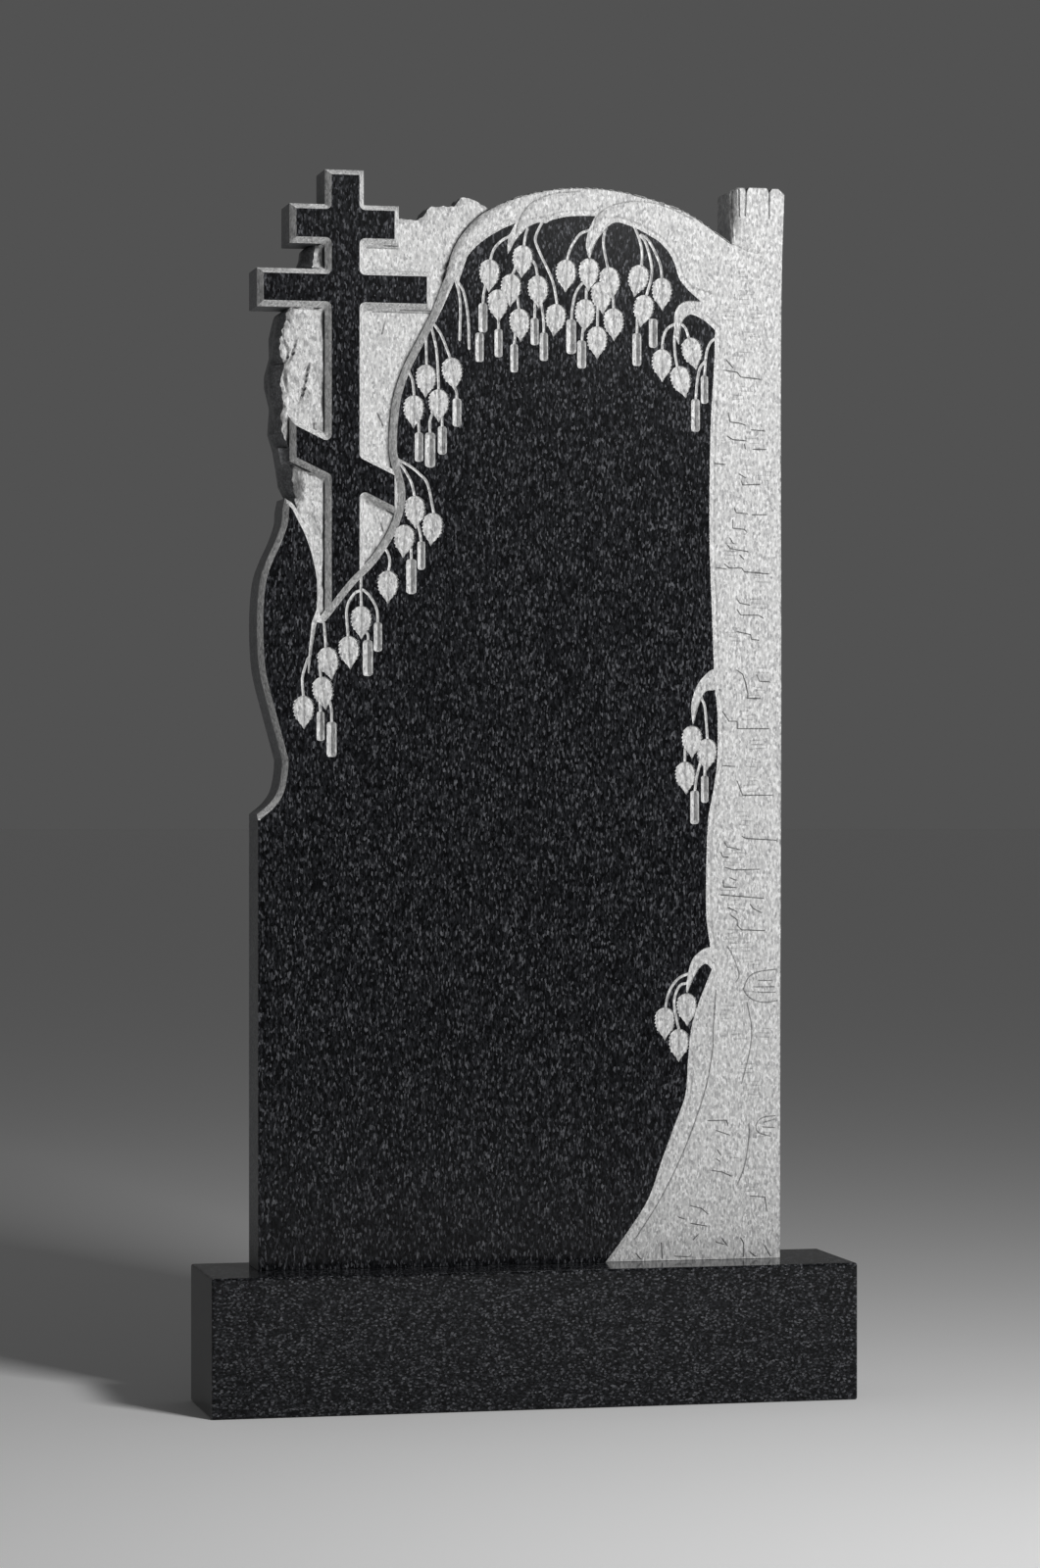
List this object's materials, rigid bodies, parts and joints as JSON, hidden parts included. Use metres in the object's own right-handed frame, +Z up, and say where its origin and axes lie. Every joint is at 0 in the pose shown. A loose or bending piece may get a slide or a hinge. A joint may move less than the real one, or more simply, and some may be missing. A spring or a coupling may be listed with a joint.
{
  "type": "headstone",
  "caption": "Upright memorial slab carved with a birch, hanging leaves and a three-barred cross, standing on a plain plinth.",
  "frame": {"origin": "middle of the plinth's underside", "axes": "+Z up, front towards -Y, +X to the right seen from the front"},
  "size_m": [0.7, 0.15, 1.3143],
  "materials": {
    "carved_stone": "black gabbro, hand-carved and left pale and matt; its flat face is polished almost black",
    "polished_stone": "black gabbro, polished, with a fine grey speckle"
  },
  "bodies": {
    "root": {"stele": "carved_stone", "plinth": "polished_stone"}
  },
  "joints": []
}
